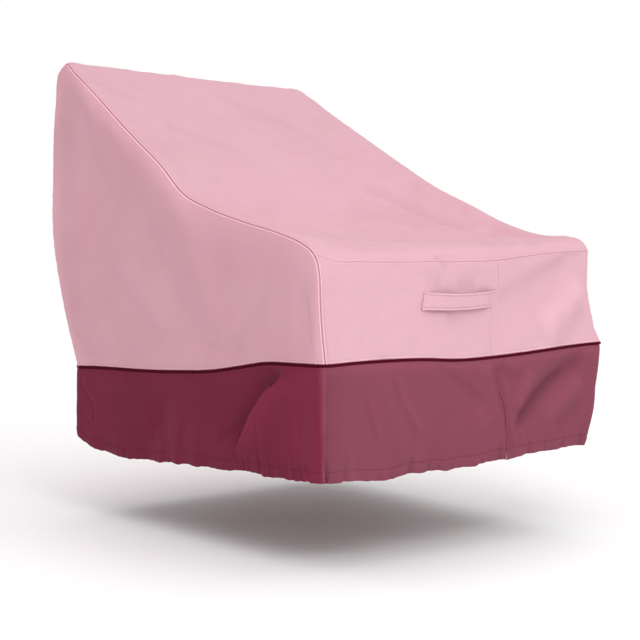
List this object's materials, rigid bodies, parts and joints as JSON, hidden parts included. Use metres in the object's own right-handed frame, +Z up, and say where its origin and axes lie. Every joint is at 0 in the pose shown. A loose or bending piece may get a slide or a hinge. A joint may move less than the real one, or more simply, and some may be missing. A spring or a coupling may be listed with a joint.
{
  "type": "fitted outdoor seat cover",
  "caption": "Fitted two-tone outdoor seat cover with a sloping top, a piped lower skirt with an elastic hem and a front carrying handle, hanging as in use and open below",
  "frame": {"origin": "where the cover is carried: under the middle of its top edge, 39 mm inside the rear face of the back panel", "axes": "+Z up, -Y towards the front, +X to the right as seen from the front"},
  "size_m": [0.7968, 1.0421, 0.8866],
  "materials": {
    "panel_cloth": "pale pink coated polyester, matte with a faint sheen",
    "skirt_cloth": "maroon coated polyester, matte with a faint sheen",
    "piping_cloth": "dark maroon woven polyester over a cord"
  },
  "bodies": {
    "root": {"top_panel": "panel_cloth", "front_panel_left": "panel_cloth", "front_panel_right": "panel_cloth", "back_panel": "panel_cloth", "side_panel_left": "panel_cloth", "side_panel_right": "panel_cloth", "handle": "panel_cloth", "piping": "piping_cloth", "skirt": "skirt_cloth"}
  },
  "joints": []
}
